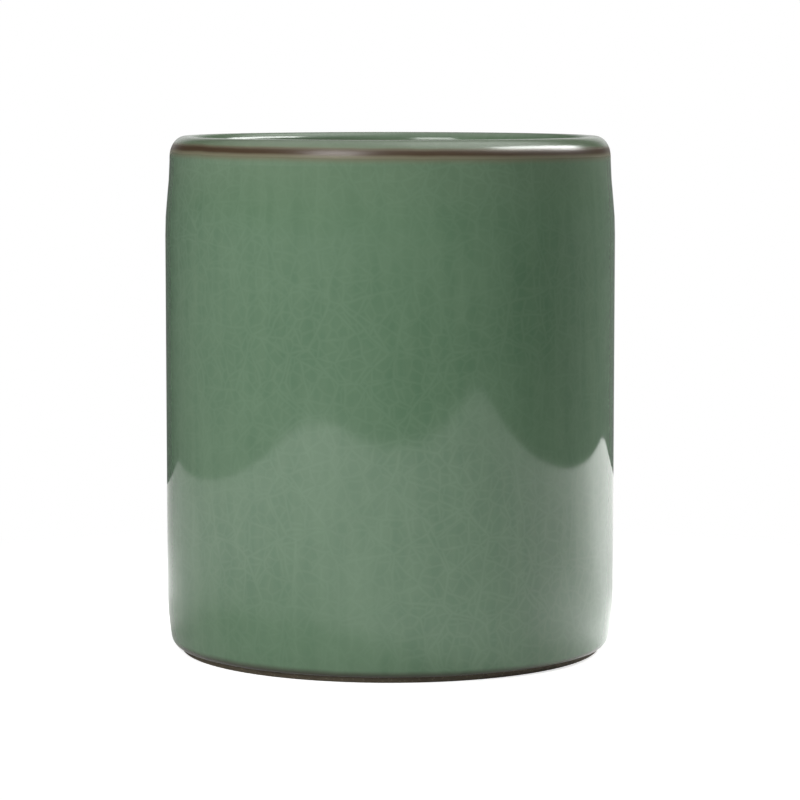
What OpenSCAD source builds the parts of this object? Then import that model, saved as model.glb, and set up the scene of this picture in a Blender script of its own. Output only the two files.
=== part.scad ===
// Straight-sided brush pot in crackled celadon.
// A fired clay body carries four coats of glaze, and each coat is a solid of its own:
// on the outside, over the lip, on the inside and under the floor.
// Millimetres, +Z up, origin on the table at the centre of the foot ring.

/* [Pot] */
// Widest diameter, over the glaze
pot_d = 96; // [80:1:130]
// Height from the table to the crest of the lip
pot_h = 110; // [80:1:150]

/* [Clay body] */
// Thickness of the clay wall
clay_wall = 4.6; // [3.5:0.1:7]
// Thickness of the clay floor
clay_floor = 5; // [3:0.1:9]
// Radius of the glazed corner between the inside wall and the floor
floor_round = 6; // [2:0.5:14]
// Height of the lip's round on the outside
lip_h = 4.2; // [2:0.1:8]
// Height of the lip's round on the inside
lip_in_h = 2.2; // [1:0.1:5]
// Share of the wall's thickness that the outside round takes
lip_share = 0.68; // [0.4:0.02:0.8]

/* [Foot] */
// Height of the curve that draws the clay wall in to the foot
foot_curve_h = 14; // [8:0.5:20]
// How far that curve draws the clay wall in
foot_curve_in = 2.2; // [1:0.1:4]
// Width of the flat ring that stands on the table
foot_w = 4.6; // [3:0.1:8]
// Bevel between the flat ring and the recess
foot_bevel = 0.4; // [0.2:0.05:0.8]
// Depth of the clay recess inside the foot ring
recess_h = 2.8; // [2.4:0.1:6]
// Radius of the glazed corner between the recess and the foot ring
recess_round = 0.7; // [0.4:0.1:1.2]
// Height of the bare clay between the table and the outside glaze
bare_h = 1.3; // [0.8:0.1:3]

/* [Glaze] */
// Thickness of the outside coat
outer_coat = 1.2; // [0.6:0.1:2]
// Thickness of the inside coat
inner_coat = 0.9; // [0.5:0.1:1.6]
// Thickness of the coat under the floor
base_coat = 0.8; // [0.4:0.1:1.2]
// Thickness of the coat left on the lip
lip_coat = 0.2; // [0.1:0.05:0.4]
// Height over which the wall coats thin out towards the lip
thinning_h = 16; // [8:0.5:24]
// Height of the lip coat's straight edge, below the round of the lip
lip_skirt = 0.8; // [0.4:0.1:2]
// Height of the rounded lower edge of the outside coat
glaze_roll = 1.8; // [0.8:0.1:3]

/* [Hidden] */

// Steps along each curved stretch of the section, and round the pot
curve_steps = 16;
turn_steps = 180;

clay_color = "#4a3b2e";
celadon_color = "#66805f";
lip_color = "#5c4a37";

// Radii of the clay wall
clay_r = pot_d / 2 - outer_coat;
well_r = clay_r - clay_wall;

// The clay's crest, and the heights at which the lip's rounds start outside and inside
crest_r = clay_r - clay_wall * lip_share;
crest_z = pot_h - lip_coat;
lip_z = crest_z - lip_h;
lip_in_z = crest_z - lip_in_h;

// The foot ring's outer and inner radius, and the two clay corners under the glaze
foot_r = clay_r - foot_curve_in;
recess_r = foot_r - foot_w - foot_bevel;
recess_corner = recess_round + base_coat;
floor_z = recess_h + clay_floor;
floor_corner = floor_round + inner_coat;

function unit(v) = v / norm(v);
function shares(count) = [for (i = [0:count]) i / count];
function ease(u) = (1 - cos(180 * min(max(u, 0), 1))) / 2;

// A station on the clay's section is a point, its outward normal and the coat's thickness there.
function clay_side(line) = [for (s = line) s[0]];
function glaze_side(line) = [for (s = line) s[0] + s[1] * s[2]];
function reversed(list) = [for (i = [len(list) - 1:-1:0]) list[i]];
function rest(list) = [for (i = [1:len(list) - 1]) list[i]];

// The foot's curve is a quarter of an ellipse that stands on the table.
function foot_angle(z) = asin(z / foot_curve_h - 1);
function foot_point(q) = [foot_r + foot_curve_in * cos(q), foot_curve_h * (1 + sin(q))];
function foot_normal(q) = unit([foot_curve_h * cos(q), foot_curve_in * sin(q)]);
function foot_station(z, coat) = let (q = foot_angle(z)) [foot_point(q), foot_normal(q), coat];

// A wall coat eases down to the thickness of the lip's coat where the lip's round starts.
// Its stretch runs up to the edge of the lip's coat, a skirt's height below that.
function wall_coat(down, coat) = lip_coat + (coat - lip_coat) * ease(down / thinning_h);
function wall_station(r, top, down, way, coat) = [[r, top - down], [way, 0], wall_coat(down, coat)];
function wall_stretch(r, top, way, coat) = [for (u = shares(curve_steps))
    wall_station(r, top, lip_skirt + (thinning_h - lip_skirt) * u, way, coat)];

// The lip's section is a quarter of an ellipse on either side of the crest.
function lip_station(size, mid, q) =
    [mid + [size.x * cos(q), size.y * sin(q)], unit([size.y * cos(q), size.x * sin(q)]), lip_coat];

// An inside corner of the clay, where the coat lies towards the middle of the corner's round.
function corner_station(mid, r, q, coat) = [mid + r * [cos(q), sin(q)], -[cos(q), sin(q)], coat];

roll_top = bare_h + glaze_roll;
roll_line = [for (u = shares(curve_steps)) foot_station(
    bare_h + glaze_roll * (1 - cos(90 * u)),
    outer_coat * sin(90 * u)
)];
foot_line = [for (u = shares(curve_steps))
    foot_station(roll_top + (foot_curve_h - roll_top) * u, outer_coat)];
outer_wall = wall_stretch(clay_r, lip_z, 1, outer_coat);
outer_line = concat(roll_line, rest(foot_line), reversed(outer_wall));

lip_outside = [for (u = shares(curve_steps))
    lip_station([clay_r - crest_r, lip_h], [crest_r, lip_z], 90 * u)];
lip_inside = [for (u = shares(curve_steps))
    lip_station([crest_r - well_r, lip_in_h], [crest_r, lip_in_z], 90 * (1 + u))];
lip_round = concat(lip_outside, rest(lip_inside));

inner_wall = wall_stretch(well_r, lip_in_z, -1, inner_coat);
lip_line = concat([outer_wall[0]], lip_round, [inner_wall[0]]);
floor_mid = [well_r - floor_corner, floor_z + floor_corner];
floor_curve = [for (u = shares(curve_steps))
    corner_station(floor_mid, floor_corner, -90 * u, inner_coat)];
inner_line = concat(inner_wall, floor_curve, [[[0, floor_z], [0, 1], inner_coat]]);

// Under the floor the coat thins to nothing round the corner with the foot ring.
recess_mid = [recess_r - recess_corner, recess_h - recess_corner];
recess_curve = [for (u = shares(curve_steps))
    corner_station(recess_mid, recess_corner, 90 * (1 - u), base_coat * cos(90 * u))];
base_line = concat([[[0, recess_h], [0, -1], base_coat]], recess_curve);

// The bare foot: the ring's bevel, its flat face and the curve up to the glaze.
bare_line = concat(
    [[recess_r, foot_bevel], [recess_r + foot_bevel, 0]],
    [for (u = shares(curve_steps)) foot_point(-90 + (foot_angle(bare_h) + 90) * u)]
);

module turned(outline) {
    rotate_extrude($fn = turn_steps) polygon(outline);
}

module coat(line) {
    turned(concat(clay_side(line), reversed(glaze_side(line))));
}

module clay_body() {
    color(clay_color)
        turned(concat(
            clay_side(base_line),
            bare_line,
            rest(clay_side(roll_line)),
            rest(clay_side(foot_line)),
            clay_side(lip_round),
            clay_side(floor_curve),
            [[0, floor_z]]
        ));
}

module outer_glaze() {
    color(celadon_color) coat(outer_line);
}

module lip_glaze() {
    color(lip_color) coat(lip_line);
}

module inner_glaze() {
    color(celadon_color) coat(inner_line);
}

module base_glaze() {
    color(celadon_color) coat(base_line);
}

clay_body();
outer_glaze();
lip_glaze();
inner_glaze();
base_glaze();
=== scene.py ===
from math import asin, atan2, cos, pi, radians, sin

import bpy
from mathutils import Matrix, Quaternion, Vector


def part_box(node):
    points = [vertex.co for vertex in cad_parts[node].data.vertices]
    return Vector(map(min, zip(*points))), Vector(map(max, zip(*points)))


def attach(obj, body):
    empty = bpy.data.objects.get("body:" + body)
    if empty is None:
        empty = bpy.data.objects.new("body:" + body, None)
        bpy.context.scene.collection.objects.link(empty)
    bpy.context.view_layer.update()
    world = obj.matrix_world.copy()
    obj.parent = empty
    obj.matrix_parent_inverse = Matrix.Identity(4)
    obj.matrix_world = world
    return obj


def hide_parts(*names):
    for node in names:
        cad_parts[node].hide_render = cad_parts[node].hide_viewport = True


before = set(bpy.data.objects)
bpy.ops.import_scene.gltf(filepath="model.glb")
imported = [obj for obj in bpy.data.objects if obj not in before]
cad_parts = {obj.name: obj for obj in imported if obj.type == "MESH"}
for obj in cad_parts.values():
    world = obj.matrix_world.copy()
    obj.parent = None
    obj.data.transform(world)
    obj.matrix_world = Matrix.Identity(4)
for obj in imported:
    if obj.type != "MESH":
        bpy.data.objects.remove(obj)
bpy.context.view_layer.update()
scene = bpy.context.scene
scene.view_settings.view_transform = "Standard"
print("frame loaded:", ", ".join(sorted(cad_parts)))

mm = 0.001
quarter = pi / 2


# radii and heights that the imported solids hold

def nodeRadius(name):
    return max(vertex.co.xy.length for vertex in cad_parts[name].data.vertices)


glazeRadius = nodeRadius("outer_glaze")
clayRadius = nodeRadius("clay_body")
wellRadius = nodeRadius("inner_glaze")      # the clay's, behind the inside coat
recessRadius = nodeRadius("base_glaze")     # the clay's, inside the foot ring
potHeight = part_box("lip_glaze")[1].z
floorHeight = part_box("inner_glaze")[0].z    # the clay's, under the inside coat
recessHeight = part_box("base_glaze")[1].z


# the pot's section, from the axis outwards and from the table upwards

drawing = dict(
    curveSteps=16,          # along each round of the section
    ringGap=4 * mm,         # between the rings of points up a wall
)
shares = [step / drawing["curveSteps"] for step in range(drawing["curveSteps"] + 1)]
flatShares = shares[::2]    # a flat stretch needs fewer points

clay = dict(
    lipOutside=4.2 * mm,    # height of the lip's round, on the outside and on the inside
    lipInside=2.2 * mm,
    lipShare=0.68,          # of the wall's thickness, for the outside round
    footCurve=14 * mm,      # the wall draws in to the foot over this height
    footIn=2.2 * mm,        # and by this much
    footBevel=0.4 * mm,
)
lipCoat = dict(
    thickness=0.2 * mm,
    skirt=0.8 * mm,         # it reaches this far below the lip's round
    thinning=16 * mm,       # height over which the wall coats thin out to it
)
footRadius = clayRadius - clay["footIn"]
crestRadius = clayRadius - (clayRadius - wellRadius) * clay["lipShare"]
crestHeight = potHeight - lipCoat["thickness"]
lipStart = crestHeight - clay["lipOutside"]         # where the lip's round starts
lipStartInside = crestHeight - clay["lipInside"]


def ease(share):
    return (1 - cos(pi * min(max(share, 0), 1))) / 2


# a station is a point on the clay, its normal and the coat's thickness there

# down a wall, from the edge of the lip's coat
def wallStations(radius, top, bottom, way, thickness):
    rings = round((top - bottom) / drawing["ringGap"])
    reach = top - lipCoat["skirt"] - bottom
    stations = []
    for ring in range(rings + 1):
        down = lipCoat["skirt"] + reach * ring / rings
        gain = (thickness - lipCoat["thickness"]) * ease(down / lipCoat["thinning"])
        stations.append((Vector((radius, top - down)), Vector((way, 0)), lipCoat["thickness"] + gain))
    return stations


# on the foot's curve, a quarter of an ellipse that stands on the table
def footAngle(height):
    return asin(height / clay["footCurve"] - 1)


def footPoint(angle):
    return Vector((footRadius + clay["footIn"] * cos(angle), clay["footCurve"] * (1 + sin(angle))))


def footStation(height, thickness):
    angle = footAngle(height)
    normal = Vector((clay["footCurve"] * cos(angle), clay["footIn"] * sin(angle)))
    return footPoint(angle), normal.normalized(), thickness


# on the lip's round, a quarter of an ellipse on either side of the crest
def lipStation(reach, height, angle):
    point = Vector((crestRadius + reach * cos(angle), crestHeight - height + height * sin(angle)))
    normal = Vector((height * cos(angle), reach * sin(angle)))
    return point, normal.normalized(), lipCoat["thickness"]


# on an inside corner, where the coat lies towards the middle of the round
def cornerStation(middle, radius, angle, thickness):
    out = Vector((cos(angle), sin(angle)))
    return middle + radius * out, -out, thickness


outerCoat = dict(
    thickness=glazeRadius - clayRadius,
    roll=1.8 * mm,          # height of its rounded lower edge
    bare=1.3 * mm,          # bare clay between the table and that edge
)
rollTop = outerCoat["bare"] + outerCoat["roll"]
rollStations = []
for share in shares:
    rollHeight = outerCoat["bare"] + outerCoat["roll"] * (1 - cos(share * quarter))
    rollStations.append(footStation(rollHeight, outerCoat["thickness"] * sin(share * quarter)))
footStations = [
    footStation(rollTop + (clay["footCurve"] - rollTop) * share, outerCoat["thickness"])
    for share in shares
]
outerWall = wallStations(clayRadius, lipStart, clay["footCurve"], 1, outerCoat["thickness"])
outerStations = rollStations + footStations[1:] + outerWall[-2::-1]

innerCoat = dict(
    thickness=0.9 * mm,
    floorRound=6 * mm,      # corner between the inside wall and the floor, over the coat
)
floorCorner = innerCoat["floorRound"] + innerCoat["thickness"]
floorMiddle = Vector((wellRadius - floorCorner, floorHeight + floorCorner))
innerWall = wallStations(wellRadius, lipStartInside, floorMiddle.y, -1, innerCoat["thickness"])
floorCurve = [
    cornerStation(floorMiddle, floorCorner, -share * quarter, innerCoat["thickness"]) for share in shares
]
floorFlat = [
    (Vector((floorMiddle.x * (1 - share), floorHeight)), Vector((0, 1)), innerCoat["thickness"])
    for share in flatShares
]
innerStations = innerWall + floorCurve[1:] + floorFlat[1:]

lipOutside = [
    lipStation(clayRadius - crestRadius, clay["lipOutside"], share * quarter) for share in shares
]
lipInside = [
    lipStation(crestRadius - wellRadius, clay["lipInside"], (1 + share) * quarter) for share in shares
]
lipStations = outerWall[:1] + lipOutside + lipInside[1:] + innerWall[:1]

baseCoat = dict(
    thickness=0.8 * mm,
    recessRound=0.7 * mm,   # corner between the recess and the foot ring, over the coat
)
recessCorner = baseCoat["recessRound"] + baseCoat["thickness"]
recessMiddle = Vector((recessRadius - recessCorner, recessHeight - recessCorner))
recessFlat = [
    (Vector((recessMiddle.x * share, recessHeight)), Vector((0, -1)), baseCoat["thickness"])
    for share in flatShares
]
recessCurve = []
for share in shares:
    thinned = baseCoat["thickness"] * cos(share * quarter)      # to nothing at the foot ring
    recessCurve.append(cornerStation(recessMiddle, recessCorner, (1 - share) * quarter, thinned))
baseStations = recessFlat[:-1] + recessCurve

# the bare foot: the ring's bevel, its flat face and the curve up to the glaze
bareFoot = [
    Vector((recessRadius, clay["footBevel"])),
    Vector((recessRadius + clay["footBevel"], 0)),
]
bareTop = footAngle(outerCoat["bare"])
bareFoot += [footPoint(-quarter + (bareTop + quarter) * share) for share in shares]
print("section drawn: glaze radius %.1f mm, height %.1f mm" % (glazeRadius / mm, potHeight / mm))


# turning the pieces

wheel = dict(
    turns=240,              # faces round the pot
    sharpAngle=50,          # degrees; only the cut edges of a coat are this sharp
    wander=0.022 * mm,      # how far the hand-turned wall strays from round
    wanderLength=52 * mm,
    wanderStretch=dict(X=1.0, Y=1.17),      # of that length, for the wave along each axis
    wanderDetail=1,
    mergeGap=0.001 * mm,    # points closer than this become one
)

# the same two slow waves move every piece alike, so the coats still lie on the clay
waves = {}
for axis, stretch in wheel["wanderStretch"].items():
    wave = bpy.data.textures.new("wheelWander" + axis, "CLOUDS")
    wave.noise_scale = wheel["wanderLength"] * stretch
    wave.noise_depth = wheel["wanderDetail"]
    waves[axis] = wave


def turnOnWheel(name, outline):
    bpy.ops.object.select_all(action="DESELECT")
    bpy.ops.mesh.primitive_plane_add(size=mm)
    piece = bpy.context.object
    piece.name = piece.data.name = name
    bpy.ops.object.mode_set(mode="EDIT")
    bpy.ops.mesh.select_all(action="SELECT")
    bpy.ops.mesh.merge(type="CENTER")           # one point, drawn along the section
    pen = Vector((outline[0].x, 0, outline[0].y))
    bpy.ops.transform.translate(value=pen)
    for point in outline[1:]:
        move = Vector((point.x, 0, point.y)) - pen
        bpy.ops.mesh.extrude_vertices_move(TRANSFORM_OT_translate={"value": move})
        pen += move
    bpy.ops.mesh.select_all(action="SELECT")
    bpy.ops.mesh.spin(steps=wheel["turns"], angle=2 * pi, center=(0, 0, 0), axis=(0, 0, 1))
    bpy.ops.mesh.select_all(action="SELECT")
    bpy.ops.mesh.remove_doubles(threshold=wheel["mergeGap"])
    bpy.ops.mesh.normals_make_consistent(inside=False)
    bpy.ops.object.mode_set(mode="OBJECT")
    for axis, wave in waves.items():
        stray = piece.modifiers.new("stray" + axis, "DISPLACE")
        stray.direction = axis
        stray.texture = wave
        stray.texture_coords = "LOCAL"
        stray.strength = wheel["wander"]
        bpy.ops.object.modifier_apply(modifier=stray.name)
    bpy.ops.object.shade_smooth_by_angle(angle=radians(wheel["sharpAngle"]))
    print("turned", name, len(piece.data.polygons), "faces")
    return piece


def claySide(stations):
    return [point for point, normal, thickness in stations]


def glazeSide(stations):
    return [point + normal * thickness for point, normal, thickness in stations]


def coatOutline(stations):
    return glazeSide(stations) + claySide(stations)[::-1]


# the coats of the wall and the lip come back to their first point, the others start and end on the axis
def ringOutline(stations):
    return coatOutline(stations) + glazeSide(stations[:1])


clayOutline = claySide(baseStations) + bareFoot
for stations in (outerStations, lipStations, innerStations):
    clayOutline += claySide(stations)[1:]
clayBody = turnOnWheel("clayBody", clayOutline)
outerGlaze = turnOnWheel("outerGlaze", ringOutline(outerStations))
lipGlaze = turnOnWheel("lipGlaze", ringOutline(lipStations))
innerGlaze = turnOnWheel("innerGlaze", coatOutline(innerStations))
baseGlaze = turnOnWheel("baseGlaze", coatOutline(baseStations))


# materials

def toLinear(hexColour):
    channels = [int(hexColour[start:start + 2], 16) / 255 for start in (1, 3, 5)]
    linear = [c / 12.92 if c <= 0.04045 else ((c + 0.055) / 1.055) ** 2.4 for c in channels]
    return linear + [1]


# a node that is given for an input is linked by its first live output
def addNode(tree, kind, settings=(), inputs=()):
    node = tree.nodes.new("ShaderNode" + kind)
    for name, value in dict(settings).items():
        setattr(node, name, value)
    for name, value in dict(inputs).items():
        if isinstance(value, bpy.types.Node):
            value = next(output for output in value.outputs if output.enabled)
        if isinstance(value, bpy.types.NodeSocket):
            tree.links.new(value, node.inputs[name])
        else:
            node.inputs[name].default_value = value
    return node


# settings that many nodes share
smooth = dict(interpolation_type="SMOOTHSTEP")
colourMix = dict(data_type="RGBA")
multiply = dict(operation="MULTIPLY")
multiplyAdd = dict(operation="MULTIPLY_ADD")
larger = dict(operation="MAXIMUM")


def startMaterial(name):
    material = bpy.data.materials.new(name)
    material.use_nodes = True
    material.node_tree.nodes.clear()
    return material, material.node_tree


# angle round the pot's axis, 0 on the camera's side and positive to its right
def angleAround(tree, direction):
    parts = addNode(tree, "SeparateXYZ", {}, {"Vector": direction})
    front = addNode(tree, "Math", multiply, {0: parts.outputs["Y"], 1: -1.0})
    return addNode(tree, "Math", dict(operation="ARCTAN2"), {0: parts.outputs["X"], 1: front})


# Celadon: a thick feldspar glaze fired over iron clay. Deep, slightly grey green with a wet gloss,
# a net of pale hairline crazing, browner wherever the coat thins over the clay.
celadon = dict(
    body="#688369",
    deep="#5a775d",
    thin="#7d8c77",         # where the coat thins towards the lip
    craze="#7f9a81",
    tan="#77725e",          # a thin coat on the clay
    iron="#4a3c2e",         # and hardly any coat
    foot="#47453a",
    ior=1.5,
    roughness=(0.04, 0.07),
    dry=0.3,                # roughness of the brown line on the lip
    cloud=34 * mm,          # slow drift of the green
    cloudDetail=3.0,
    cloudRange=(0.3, 0.7),  # of the noise, over which the green and the gloss change
    run=(3 * mm, 3 * mm, 26 * mm),          # faint runs down the wall
    runDetail=2.0,
    curd=3.4 * mm,          # fine clouds of bubbles in the glaze
    curdDetail=1.0,
    curdShare=0.35,         # the rest is runs
    fineRange=(0.36, 0.64),
    fineShare=0.5,          # of runs and curds together; the rest is clouds
    thinShare=0.22,         # of the thin colour, at the lip
    bend=1.2 * mm,          # how far the cracks sway
    bendLength=8 * mm,
    bendDetail=2.0,
    # cell, drawn width and strength of each net of cracks, coarse to fine; real ones are under
    # 0.1 mm wide and are drawn wide and soft, as a glaze this deep shows them
    nets=((11 * mm, 1.1 * mm, 0.16), (5.2 * mm, 1.0 * mm, 0.15), (2.7 * mm, 0.9 * mm, 0.11)),
    netRange=(0.38, 0.62),  # of the clouds, over which the cracks grow to full strength
    netLow=0.5,             # and their share of it before that
    onWall=True,            # cracks drawn on the unrolled wall, not through the solid
    line=107.5 * mm,        # height of the brown line on the lip
    lineLean=0.35 * mm,     # it sits this much higher on the left
    lineWobble=0.35 * mm,
    wobbleLength=9 * mm,
    wobbleDetail=2.0,
    # colour, how far below the line it starts and is full, and the share that is left above
    lineTints=(("tan", 2.6 * mm, 0.7 * mm, 0.25), ("iron", 0.9 * mm, 0.25 * mm, 0.0)),
    lineFade=0.95 * mm,     # each tint fades out above over this height
    lineInside=0.4,         # strength of the line on the lip's inside
    lineTurn=(-1.5 * mm, 0.5 * mm),         # from the crest, where it changes to that
    footFade=(0.3 * mm, 1.9 * mm),          # above the coat's lower edge
    footShare=0.95,         # of the foot's colour, at that edge
    footClear=1 * mm,       # none of it closer to the recess
)


# the green drifts between two tones
def glazeGreen(tree, look, place, clouds):
    low, high = look["cloudRange"]
    drift = addNode(tree, "MapRange", smooth, {"Value": clouds, "From Min": low, "From Max": high})
    drawnOut = addNode(tree, "VectorMath", multiply, {
        0: place, 1: [1 / length for length in look["run"]]})
    runs = addNode(tree, "TexNoise", {}, {"Vector": drawnOut, "Scale": 1.0, "Detail": look["runDetail"]})
    curds = addNode(tree, "TexNoise", {}, {
        "Vector": place, "Scale": 1 / look["curd"], "Detail": look["curdDetail"]})
    fine = addNode(tree, "Mix", {}, {"Factor": look["curdShare"], "A": runs, "B": curds})
    low, high = look["fineRange"]
    sharper = addNode(tree, "MapRange", {}, {"Value": fine, "From Min": low, "From Max": high})
    share = addNode(tree, "Mix", {}, {"Factor": look["fineShare"], "A": drift, "B": sharper})
    return addNode(tree, "Mix", colourMix, {
        "Factor": share, "A": toLinear(look["body"]), "B": toLinear(look["deep"])})


# and is paler where the coat thins towards the lip
def palerAbove(tree, look, height, colour):
    share = addNode(tree, "MapRange", smooth, {
        "Value": height, "From Min": lipStart - lipCoat["thinning"], "From Max": lipStart,
        "To Max": look["thinShare"]})
    return addNode(tree, "Mix", colourMix, {"Factor": share, "A": colour, "B": toLinear(look["thin"])})


# crazing: the edges of cells, swayed by a slow noise
def crazeLines(tree, look, place, radius):
    sway = addNode(tree, "TexNoise", {}, {
        "Vector": place, "Scale": 1 / look["bendLength"], "Detail": look["bendDetail"]}).outputs["Color"]
    centred = addNode(tree, "VectorMath", dict(operation="SUBTRACT"), {0: sway, 1: (0.5, 0.5, 0.5)})
    spot = addNode(tree, "VectorMath", multiplyAdd, {0: centred, 1: [2 * look["bend"]] * 3, 2: place})
    lines = 0.0
    if look["onWall"]:
        # the wall laid out flat, with a crack at the back where its two sides meet
        around = addNode(tree, "Math", multiply, {0: angleAround(tree, spot), 1: glazeRadius})
        height = addNode(tree, "SeparateXYZ", {}, {"Vector": spot}).outputs["Z"]
        climb = addNode(tree, "Math", dict(operation="SUBTRACT"), {0: height, 1: radius})
        spot = addNode(tree, "CombineXYZ", {}, {"X": around, "Y": climb})
        apart = addNode(tree, "Math", dict(operation="ABSOLUTE"), {0: around})
        back = pi * glazeRadius
        cell, width, strength = look["nets"][0]
        lines = addNode(tree, "MapRange", smooth, {
            "Value": apart, "From Min": back - width / 2, "From Max": back, "To Max": strength})
    sheet = dict(voronoi_dimensions="2D" if look["onWall"] else "3D")
    for cell, width, strength in look["nets"]:
        cells = {"Vector": spot, "Scale": 1 / cell}
        edges = addNode(tree, "TexVoronoi", dict(sheet, feature="DISTANCE_TO_EDGE"), cells)
        net = addNode(tree, "MapRange", smooth, {
            "Value": edges, "From Max": width / 2 / cell, "To Min": strength, "To Max": 0.0})
        lines = addNode(tree, "Math", larger, {0: lines, 1: net})
        # the next net starts anew in every cell, so that its cracks end at these
        shift = addNode(tree, "TexVoronoi", sheet, cells).outputs["Color"]
        spot = addNode(tree, "VectorMath", dict(operation="ADD"), {0: spot, 1: shift})
    return lines


def crazedGlaze(tree, look, place, radius, clouds, colour):
    low, high = look["netRange"]
    patchy = addNode(tree, "MapRange", {}, {
        "Value": clouds, "From Min": low, "From Max": high, "To Min": look["netLow"]})
    share = addNode(tree, "Math", multiply, {0: crazeLines(tree, look, place, radius), 1: patchy})
    return addNode(tree, "Mix", colourMix, {"Factor": share, "A": colour, "B": toLinear(look["craze"])})


# a height that rises and falls a little round the pot
def waveringHeight(tree, look, place, radius):
    parts = addNode(tree, "SeparateXYZ", {}, {"Vector": place})
    side = addNode(tree, "Math", dict(operation="DIVIDE"), {0: parts.outputs["X"], 1: radius})
    leant = addNode(tree, "Math", multiplyAdd, {0: side, 1: look["lineLean"], 2: parts.outputs["Z"]})
    wobble = addNode(tree, "TexNoise", {}, {
        "Vector": place, "Scale": 1 / look["wobbleLength"], "Detail": look["wobbleDetail"]})
    return addNode(tree, "Math", multiplyAdd, {0: wobble, 1: look["lineWobble"], 2: leant})


# iron shows through in a line on the lip's shoulder, which is drier than the glaze
def ironOnLip(tree, look, height, radius, colour):
    middle = look["line"] + look["lineWobble"] / 2
    start, end = look["lineTurn"]
    outside = addNode(tree, "MapRange", smooth, {
        "Value": radius, "From Min": crestRadius + start, "From Max": crestRadius + end,
        "To Min": look["lineInside"]})
    dryness = 0.0
    for tint, reach, core, left in look["lineTints"]:
        rises = addNode(tree, "MapRange", smooth, {
            "Value": height, "From Min": middle - reach, "From Max": middle - core})
        top = middle + core / 2
        falls = addNode(tree, "MapRange", smooth, {
            "Value": height, "From Min": top, "From Max": top + look["lineFade"],
            "To Min": 1.0, "To Max": left})
        band = addNode(tree, "Math", multiply, {0: rises, 1: falls})
        share = addNode(tree, "Math", multiply, {0: band, 1: outside})
        colour = addNode(tree, "Mix", colourMix, {
            "Factor": share, "A": colour, "B": toLinear(look[tint])})
        dryness = addNode(tree, "Math", larger, {0: dryness, 1: share})
    return colour, dryness


# and where the roll of glaze above the foot runs out to nothing
def ironAtFoot(tree, look, height, radius, colour):
    start, end = look["footFade"]
    edge = addNode(tree, "MapRange", smooth, {
        "Value": height, "From Min": outerCoat["bare"] + start, "From Max": outerCoat["bare"] + end,
        "To Min": look["footShare"], "To Max": 0.0})
    ring = addNode(tree, "MapRange", {}, {
        "Value": radius, "From Min": recessRadius + look["footClear"], "From Max": footRadius})
    share = addNode(tree, "Math", multiply, {0: edge, 1: ring})
    return addNode(tree, "Mix", colourMix, {"Factor": share, "A": colour, "B": toLinear(look["foot"])})


def makeCeladon(name, look):
    material, tree = startMaterial(name)
    place = addNode(tree, "TexCoord").outputs["Object"]
    trueHeight = addNode(tree, "SeparateXYZ", {}, {"Vector": place}).outputs["Z"]
    flat = addNode(tree, "VectorMath", multiply, {0: place, 1: (1, 1, 0)})
    radius = addNode(tree, "VectorMath", dict(operation="LENGTH"), {0: flat})
    clouds = addNode(tree, "TexNoise", {}, {
        "Vector": place, "Scale": 1 / look["cloud"], "Detail": look["cloudDetail"]})
    height = waveringHeight(tree, look, place, radius)

    colour = glazeGreen(tree, look, place, clouds)
    colour = palerAbove(tree, look, trueHeight, colour)
    colour = crazedGlaze(tree, look, place, radius, clouds, colour)
    colour, dryness = ironOnLip(tree, look, height, radius, colour)
    colour = ironAtFoot(tree, look, height, radius, colour)

    low, high = look["cloudRange"]
    smoothest, roughest = look["roughness"]
    gloss = addNode(tree, "MapRange", {}, {
        "Value": clouds, "From Min": low, "From Max": high, "To Min": smoothest, "To Max": roughest})
    roughness = addNode(tree, "Mix", {}, {"Factor": dryness, "A": gloss, "B": look["dry"]})
    shader = addNode(tree, "BsdfPrincipled", {}, {
        "Base Color": colour, "Roughness": roughness, "IOR": look["ior"]})
    addNode(tree, "OutputMaterial", {}, {"Surface": shader})
    return material


# Stoneware: iron-bearing clay fired bare. Dark brown, dry and matt, with fine grog in it.
stoneware = dict(
    body="#665d4d",
    dark="#4a4236",
    grog="#857a66",
    roughness=0.8,
    ior=1.5,
    cloud=6 * mm,
    cloudDetail=4.0,
    grain=0.7 * mm,
    speck=(0.15, 0.3),      # of a grain's size, from its middle to its edge
    speckShare=0.6,
    bumpStrength=0.4,
    bumpHeight=0.1 * mm,
)


def makeStoneware(name, look):
    material, tree = startMaterial(name)
    place = addNode(tree, "TexCoord").outputs["Object"]
    clouds = addNode(tree, "TexNoise", {}, {
        "Vector": place, "Scale": 1 / look["cloud"], "Detail": look["cloudDetail"]})
    colour = addNode(tree, "Mix", colourMix, {
        "Factor": clouds, "A": toLinear(look["body"]), "B": toLinear(look["dark"])})
    grains = addNode(tree, "TexVoronoi", {}, {"Vector": place, "Scale": 1 / look["grain"]})
    middle, edge = look["speck"]
    specks = addNode(tree, "MapRange", {}, {
        "Value": grains, "From Min": middle, "From Max": edge,
        "To Min": look["speckShare"], "To Max": 0.0})
    colour = addNode(tree, "Mix", colourMix, {"Factor": specks, "A": colour, "B": toLinear(look["grog"])})
    bump = addNode(tree, "Bump", {}, {
        "Height": grains, "Strength": look["bumpStrength"], "Distance": look["bumpHeight"]})
    shader = addNode(tree, "BsdfPrincipled", {}, {
        "Base Color": colour, "Roughness": look["roughness"], "IOR": look["ior"], "Normal": bump})
    addNode(tree, "OutputMaterial", {}, {"Surface": shader})
    return material


thinCeladon = dict(celadon, roughness=(0.1, 0.15))      # the lip's coat shines less
insideCeladon = dict(celadon, onWall=False)             # cracks run on from the wall to the floor
glazeMaterial = makeCeladon("celadonGlaze", celadon)
lipMaterial = makeCeladon("thinCeladonGlaze", thinCeladon)
insideMaterial = makeCeladon("celadonGlazeInside", insideCeladon)
clayMaterial = makeStoneware("ironStoneware", stoneware)

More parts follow.
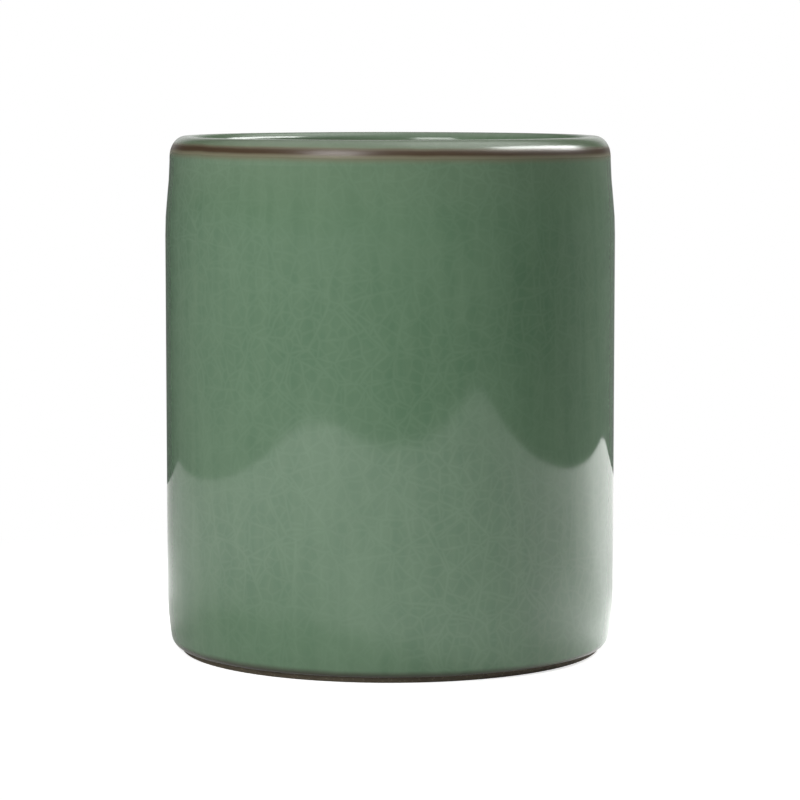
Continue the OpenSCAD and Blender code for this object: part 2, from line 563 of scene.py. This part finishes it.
for piece, material, node, slot in (
    (clayBody, clayMaterial, "clay_body", "iron_stoneware"),
    (outerGlaze, glazeMaterial, "outer_glaze", "celadon_glaze"),
    (lipGlaze, lipMaterial, "lip_glaze", "lip_glaze"),
    (innerGlaze, insideMaterial, "inner_glaze", "celadon_glaze"),
    (baseGlaze, insideMaterial, "base_glaze", "celadon_glaze"),
):
    piece.data.materials.append(material)
    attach(piece, "root")
    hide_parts(node)
print("materials laid on")


# stage: a pale table top in a dim room, and the glaze mirrors where the table ends

# directions are an azimuth, 0 on the camera's side and positive to its right, and a rise, in degrees
def towards(azimuth, rise):
    turn = radians(azimuth)
    up = radians(rise)
    return Vector((sin(turn) * cos(up), -cos(turn) * cos(up), sin(up)))


# brightness by azimuth, straight from one level to the next and closed at the back
def levelAround(tree, direction, levels):
    turn = addNode(tree, "MapRange", {}, {
        "Value": angleAround(tree, direction), "From Min": -pi, "From Max": pi})
    curve = addNode(tree, "FloatCurve", {}, {"Value": turn})
    line = curve.mapping.curves[0]
    peak = max(level for azimuth, level in levels)
    closed = levels + ((180, levels[0][1]),)
    for i, (azimuth, level) in enumerate(closed):
        spot = (azimuth / 360 + 0.5, level / peak)
        point = line.points[i] if i < 2 else line.points.new(*spot)     # a new curve has two points
        point.location = spot
        point.handle_type = "VECTOR"
    curve.mapping.update()
    return addNode(tree, "Math", multiply, {0: curve, 1: peak})


# soft round glows: azimuth, rise, spread in degrees and brightness
def glowTowards(tree, direction, glows):
    level = 0.0
    for azimuth, rise, spread, strength in glows:
        along = addNode(tree, "VectorMath", dict(operation="DOT_PRODUCT"), {
            0: direction, 1: towards(azimuth, rise)})
        glow = addNode(tree, "MapRange", smooth, {
            "Value": along, "From Min": cos(radians(spread)), "To Max": strength})
        level = addNode(tree, "Math", {}, {0: level, 1: glow})
    return level


table = dict(
    # corners in mm, front left first, and how far from each the round of the corner starts
    corners=(
        (-395, -500, 215), (60, -472, 70), (492, -512, 100),
        (325, 328, 50), (-283, 256, 20), (-380, -30, 150),
    ),
    cornerSteps=8,
    colour="#e8e8e6",
    # azimuth and mirrored brightness, painted light: the table top glows with it to the glaze
    levels=(
        (-180, 0.05), (-140, 0.05), (-120, 0.25), (-65, 0.9), (-15, 0.65),
        (45, 0.35), (90, 0.8), (120, 1.48), (150, 0.4),
    ),
    # the same close to the pot: a painted pool of light on its right, where the pot throws light back,
    # and painted shade on its left, where it blocks it
    paintedNearLevels=(
        (-180, 0.4), (-145, 0.55), (-115, 0.25), (-90, 0.0), (-40, 0.3),
        (0, 0.55), (50, 0.45), (85, 1.6), (120, 1.18), (140, 0.45),
    ),
    nearReach=(80 * mm, 220 * mm),          # from the axis, over which one gives way to the other
    paintedContactShadow=(50 * mm, 100 * mm),            # painted contact shadow, darker still right at the foot
    paintedShadowShift=(-30 * mm, -10 * mm, 0),   # the middle of that painted shadow
    shadowReach=(70 * mm, 190 * mm),        # the shadow that the camera sees fades out here
    lift=0.7,               # light added for the camera, so that only shadow is grey
)


def makeTableTop(name, look):
    bpy.ops.object.select_all(action="DESELECT")
    bpy.ops.mesh.primitive_circle_add(vertices=len(look["corners"]), fill_type="NGON")
    top = bpy.context.object
    top.name = name
    corners = [(Vector((x, y, 0)) * mm, start * mm) for x, y, start in look["corners"]]
    for vertex, (corner, start) in zip(top.data.vertices, corners):
        vertex.co = corner
    for corner, start in corners:
        for part in (top.data.polygons, top.data.edges):
            part.foreach_set("select", [False] * len(part))
        for vertex in top.data.vertices:
            vertex.select = (vertex.co - corner).length < mm
        bpy.ops.object.mode_set(mode="EDIT")
        bpy.ops.mesh.select_mode(type="VERT")
        bpy.ops.mesh.bevel(
            offset=start, segments=look["cornerSteps"], affect="VERTICES", clamp_overlap=False)
        bpy.ops.object.mode_set(mode="OBJECT")
    return top


# Painted board: pale and matt. To the camera it is white beyond the shadow, and to the glaze it glows
# as bright as its levels say: painted light and painted shadow, which no lamp casts.
def makePaleTable(name, look):
    material, tree = startMaterial(name)
    place = addNode(tree, "TexCoord").outputs["Object"]
    away = addNode(tree, "VectorMath", dict(operation="LENGTH"), {0: place})
    outward = addNode(tree, "VectorMath", dict(operation="NORMALIZE"), {0: place})
    matt = addNode(tree, "BsdfDiffuse", {}, {"Color": toLinear(look["colour"])})
    path = addNode(tree, "LightPath")

    start, end = look["shadowReach"]
    plain = addNode(tree, "MapRange", smooth, {"Value": away, "From Min": start, "From Max": end})
    lift = addNode(tree, "Emission", {}, {"Strength": look["lift"]})
    lifted = addNode(tree, "AddShader", {}, {0: matt, 1: lift})
    white = addNode(tree, "Emission", {}, {"Strength": 1.0})
    seen = addNode(tree, "MixShader", {}, {0: plain, 1: lifted, 2: white})

    # painted light: what the glaze mirrors glows, brighter or darker by azimuth and close to the pot
    start, end = look["nearReach"]
    beyond = addNode(tree, "MapRange", smooth, {"Value": away, "From Min": start, "From Max": end})
    level = addNode(tree, "Mix", {}, {
        "Factor": beyond, "A": levelAround(tree, outward, look["paintedNearLevels"]),
        "B": levelAround(tree, outward, look["levels"])})
    # painted contact shadow: the glow fades out towards the foot
    start, end = look["paintedContactShadow"]
    fromPaintedShadow = addNode(tree, "VectorMath", dict(operation="DISTANCE"), {
        0: place, 1: look["paintedShadowShift"]})
    clear = addNode(tree, "MapRange", smooth, {"Value": fromPaintedShadow, "From Min": start, "From Max": end})
    strength = addNode(tree, "Math", multiply, {0: level, 1: clear})
    glow = addNode(tree, "Emission", {}, {"Strength": strength})
    glowing = addNode(tree, "AddShader", {}, {0: matt, 1: glow})

    mirrored = addNode(tree, "MixShader", {}, {0: path.outputs["Is Glossy Ray"], 1: matt, 2: glowing})
    surface = addNode(tree, "MixShader", {}, {0: path.outputs["Is Camera Ray"], 1: mirrored, 2: seen})
    addNode(tree, "OutputMaterial", {}, {"Surface": surface})
    return material


floor = makeTableTop("tableTop", table)
floor.data.materials.append(makePaleTable("paleTable", table))
print("table set")

room = dict(
    # below the table's level: azimuth and brightness
    levels=(
        (-180, 0.15), (-150, 0.05), (-90, 0.42), (-40, 0.42),
        (15, 0.02), (75, 0.0), (110, 0.2), (145, 0.17),
    ),
    horizon=(-0.02, 0.1),   # of a direction's upward part, where that gives way to the glows above
    backdrop=((180, 8, 32, 0.8),),          # a bright wall behind the pot
    card=((95, 62, 38, 2.2), (0, 90, 62, 1.4)),     # a soft card overhead and the ceiling, for the gloss
    dim=0.01,               # added everywhere
)


# white to the camera, and a dim room to the pot
def makeRoom(name, look):
    world = bpy.data.worlds.new(name)
    world.use_nodes = True
    tree = world.node_tree
    tree.nodes.clear()
    path = addNode(tree, "LightPath")
    outward = addNode(tree, "TexCoord").outputs["Generated"]
    upward = addNode(tree, "SeparateXYZ", {}, {"Vector": outward}).outputs["Z"]
    low, high = look["horizon"]
    above = addNode(tree, "MapRange", smooth, {"Value": upward, "From Min": low, "From Max": high})
    card = addNode(tree, "Math", multiply, {
        0: glowTowards(tree, outward, look["card"]), 1: path.outputs["Is Glossy Ray"]})
    upper = addNode(tree, "Math", {}, {0: glowTowards(tree, outward, look["backdrop"]), 1: card})
    lower = levelAround(tree, outward, look["levels"])
    level = addNode(tree, "Mix", {}, {"Factor": above, "A": lower, "B": upper})
    strength = addNode(tree, "Math", {}, {0: level, 1: look["dim"]})
    dim = addNode(tree, "Background", {}, {"Color": toLinear("#ffffff"), "Strength": strength})
    white = addNode(tree, "Background", {}, {"Color": toLinear("#ffffff"), "Strength": 1.0})
    surface = addNode(tree, "MixShader", {}, {0: path.outputs["Is Camera Ray"], 1: dim, 2: white})
    addNode(tree, "OutputWorld", {}, {"Surface": surface})
    return world


scene.world = makeRoom("room", room)

# degrees, metres and watts; a lamp for gloss throws no light, and a lamp for light isn't mirrored
lamps = dict(
    key=dict(azimuth=-32, rise=32, roll=0, distance=1.1, size=(0.56, 0.56), power=10, gives="light"),
    window=dict(azimuth=-30, rise=36, roll=0, distance=1.1, size=(0.42, 0.3), power=3.6, gives="gloss"),
    rim=dict(azimuth=130, rise=27, roll=0, distance=0.9, size=(0.35, 0.4), power=8, gives="light"),
    strip=dict(azimuth=101, rise=40, roll=-32, distance=0.9, size=(0.74, 0.2), power=6.7, gives="gloss"),
)


def hangLamp(name, look):
    light = bpy.data.lights.new(name, "AREA")
    light.shape = "RECTANGLE"
    light.size, light.size_y = look["size"]
    light.energy = look["power"]
    lamp = bpy.data.objects.new(name, light)
    way = towards(look["azimuth"], look["rise"])
    roll = Quaternion((0, 0, 1), radians(look["roll"]))
    lamp.location = Vector((0, 0, potHeight / 2)) + way * look["distance"]
    lamp.rotation_euler = (way.to_track_quat("Z", "Y") @ roll).to_euler()
    lamp.visible_diffuse = look["gives"] == "light"
    lamp.visible_glossy = look["gives"] == "gloss"
    scene.collection.objects.link(lamp)


for name, look in lamps.items():
    hangLamp(name + "Lamp", look)
print("room and lamps set")


camera = dict(
    distance=0.7115,        # m from the pot's axis
    height=0.124,
    aimHeight=0.05335,
    sideways=2.1 * mm,      # the pot stands a little left of the picture's middle
    lens=149.65,
    sensor=36,
    clipStart=10 * mm,
)
eye = bpy.data.objects.new("camera", bpy.data.cameras.new("camera"))
eye.data.lens = camera["lens"]
eye.data.sensor_width = camera["sensor"]
eye.data.clip_start = camera["clipStart"]
eye.location = (camera["sideways"], -camera["distance"], camera["height"])
pitch = atan2(camera["height"] - camera["aimHeight"], camera["distance"])
eye.rotation_euler = (quarter - pitch, 0, 0)
scene.collection.objects.link(eye)
scene.camera = eye
print("camera set")
